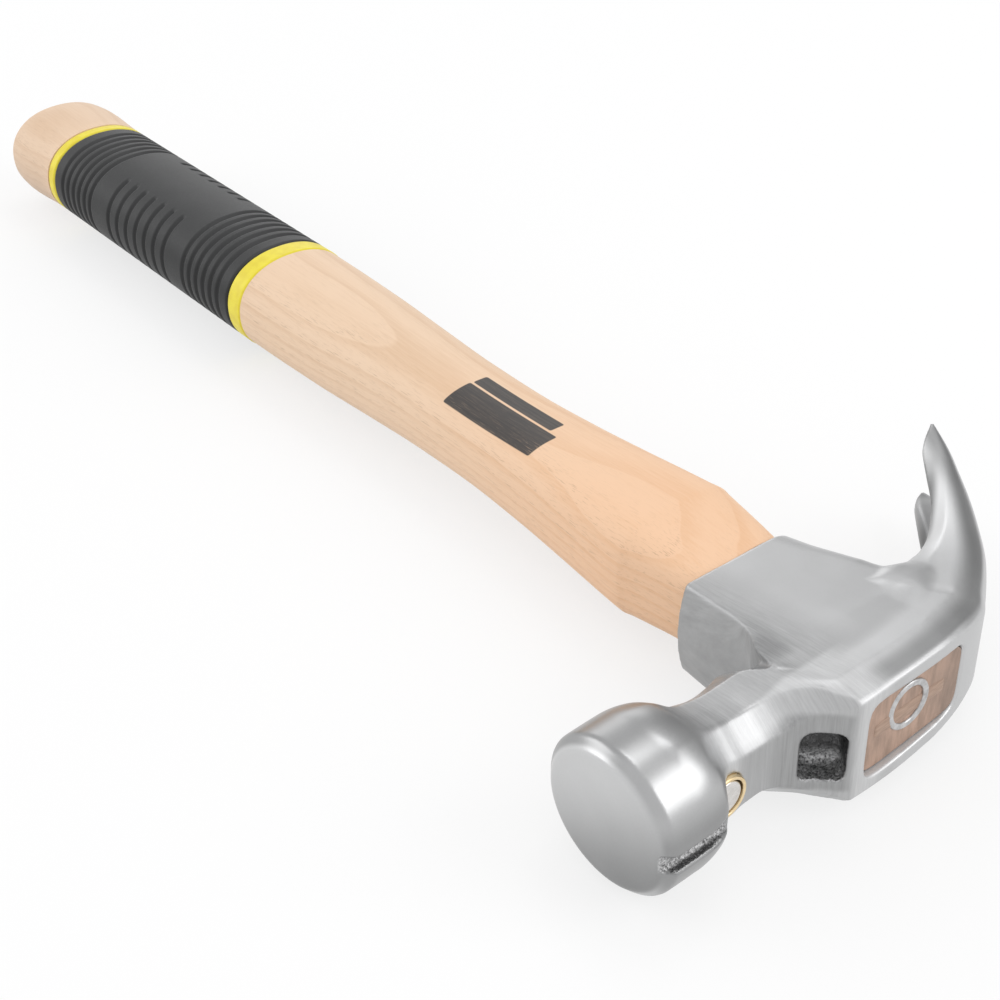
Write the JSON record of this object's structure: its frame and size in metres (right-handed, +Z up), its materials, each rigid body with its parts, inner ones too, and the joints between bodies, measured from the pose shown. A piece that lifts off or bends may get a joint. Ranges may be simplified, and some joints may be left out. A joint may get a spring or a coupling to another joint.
{
  "type": "curved claw hammer",
  "caption": "Curved claw hammer with a forged steel head, nail groove and magnet on the bell, split claws, and a wedged wooden handle with a ribbed dark grip between yellow bands.",
  "frame": {"origin": "centre of the bottom of the hammer's box as it lies on its side", "axes": "+Y runs down the handle to the butt, +X towards the claws, +Z up through the cheeks"},
  "size_m": [0.1202, 0.3336, 0.0293],
  "materials": {
    "head_steel": "satin ground steel, rough in the pocket and nail groove",
    "handle_wood": "pale lacquered hardwood, grain along the handle",
    "wedge_wood": "dark raw hardwood",
    "wedge_steel": "bright steel ring",
    "magnet_metal": "plated magnet face",
    "ring_brass": "thin bright ring",
    "grip_dark": "matte charcoal with ring grooves",
    "band_yellow": "flat yellow band"
  },
  "bodies": {
    "root": {"head": "head_steel", "handle": "handle_wood", "wooden_wedge": "wedge_wood", "ring_wedge": "wedge_steel", "magnet": "magnet_metal", "magnet_ring": "ring_brass", "grip_sleeve": "grip_dark", "grip_front_band": "band_yellow", "grip_rear_band": "band_yellow"}
  },
  "joints": []
}
